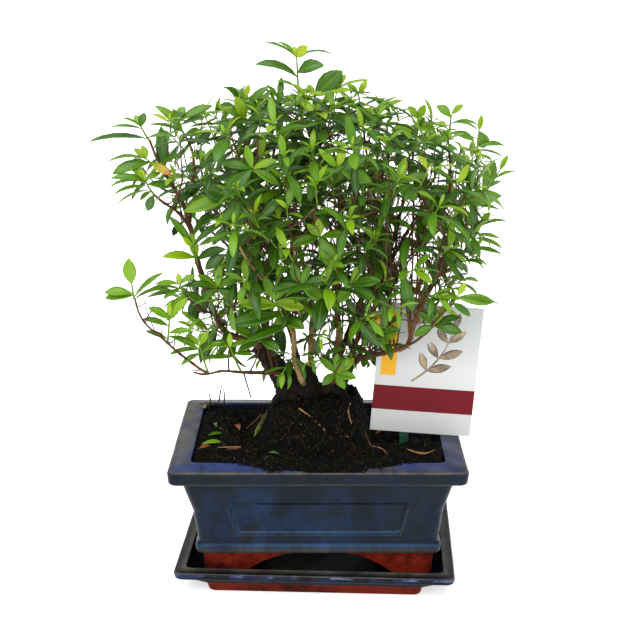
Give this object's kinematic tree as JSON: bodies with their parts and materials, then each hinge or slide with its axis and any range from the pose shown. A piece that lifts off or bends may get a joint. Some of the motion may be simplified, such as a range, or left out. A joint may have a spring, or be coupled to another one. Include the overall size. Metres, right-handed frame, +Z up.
{
  "type": "serissa bonsai",
  "caption": "Many-stemmed indoor serissa bonsai with small paired leaves, in a rectangular blue glazed clay pot that stands in a dark glazed drip tray, with a plant label on a stake.",
  "frame": {"origin": "middle of the tray's foot, on the surface that the tray stands on", "axes": "+X along the pot's long side to the right, +Y from the front to the back, +Z up"},
  "size_m": [0.2198, 0.1412, 0.2747],
  "materials": {
    "blue_glaze": "gloss",
    "dark_glaze": "gloss",
    "drainage_mesh": "matte",
    "soil": "matte",
    "trunk_bark": "matte",
    "stem_bark": "matte",
    "leaf": "satin",
    "dry_leaf": "matte",
    "label_card": "gloss",
    "label_stake": "satin"
  },
  "bodies": {
    "root": {"drip_tray": "dark_glaze", "pot": "blue_glaze", "drainage_mesh_left": "drainage_mesh", "drainage_mesh_right": "drainage_mesh", "soil": "soil", "trunk": "trunk_bark", "surface_root": "trunk_bark", "dry_twig": "stem_bark", "fallen_leaf_brown": "dry_leaf", "fallen_leaf_green": "leaf", "plant_label": "label_card", "label_stake": "label_stake", "stem_left_low": "stem_bark", "stem_left": "stem_bark", "stem_left_back": "stem_bark", "stem_middle_left": "stem_bark", "stem_middle": "stem_bark", "stem_middle_right": "stem_bark", "stem_right": "stem_bark", "stem_right_low": "stem_bark", "stem_back_left": "stem_bark", "stem_back_right": "stem_bark", "shoot_top": "leaf", "shoot_top_left": "leaf", "shoot_top_middle": "leaf", "shoot_top_right": "leaf", "shoot_left_tip": "leaf", "shoot_left_fan": "leaf", "shoot_left_side": "leaf", "shoot_left_high": "leaf", "shoot_left_inner": "leaf", "shoot_left_back": "leaf", "shoot_left_back_top": "leaf", "shoot_left_stem": "leaf", "shoot_left_twig": "leaf", "shoot_low_tip": "leaf", "shoot_low_upright": "leaf", "shoot_low_inner": "leaf", "shoot_low_base": "leaf", "shoot_left_bright": "leaf", "shoot_left_centre": "leaf", "shoot_front_left": "leaf", "shoot_front_left_top": "leaf", "shoot_front_middle": "leaf", "shoot_front_top": "leaf", "shoot_front_right_top": "leaf", "shoot_front_right": "leaf", "shoot_right_high": "leaf", "shoot_right_top": "leaf", "shoot_right_tip": "leaf", "shoot_right_side": "leaf", "shoot_right_lower": "leaf", "shoot_right_centre": "leaf", "shoot_right_green": "leaf", "shoot_right_low": "leaf", "shoot_back_left": "leaf", "shoot_back_left_top": "leaf", "shoot_back_right": "leaf", "shoot_back_right_top": "leaf", "shoot_back_middle": "leaf"}
  },
  "joints": []
}
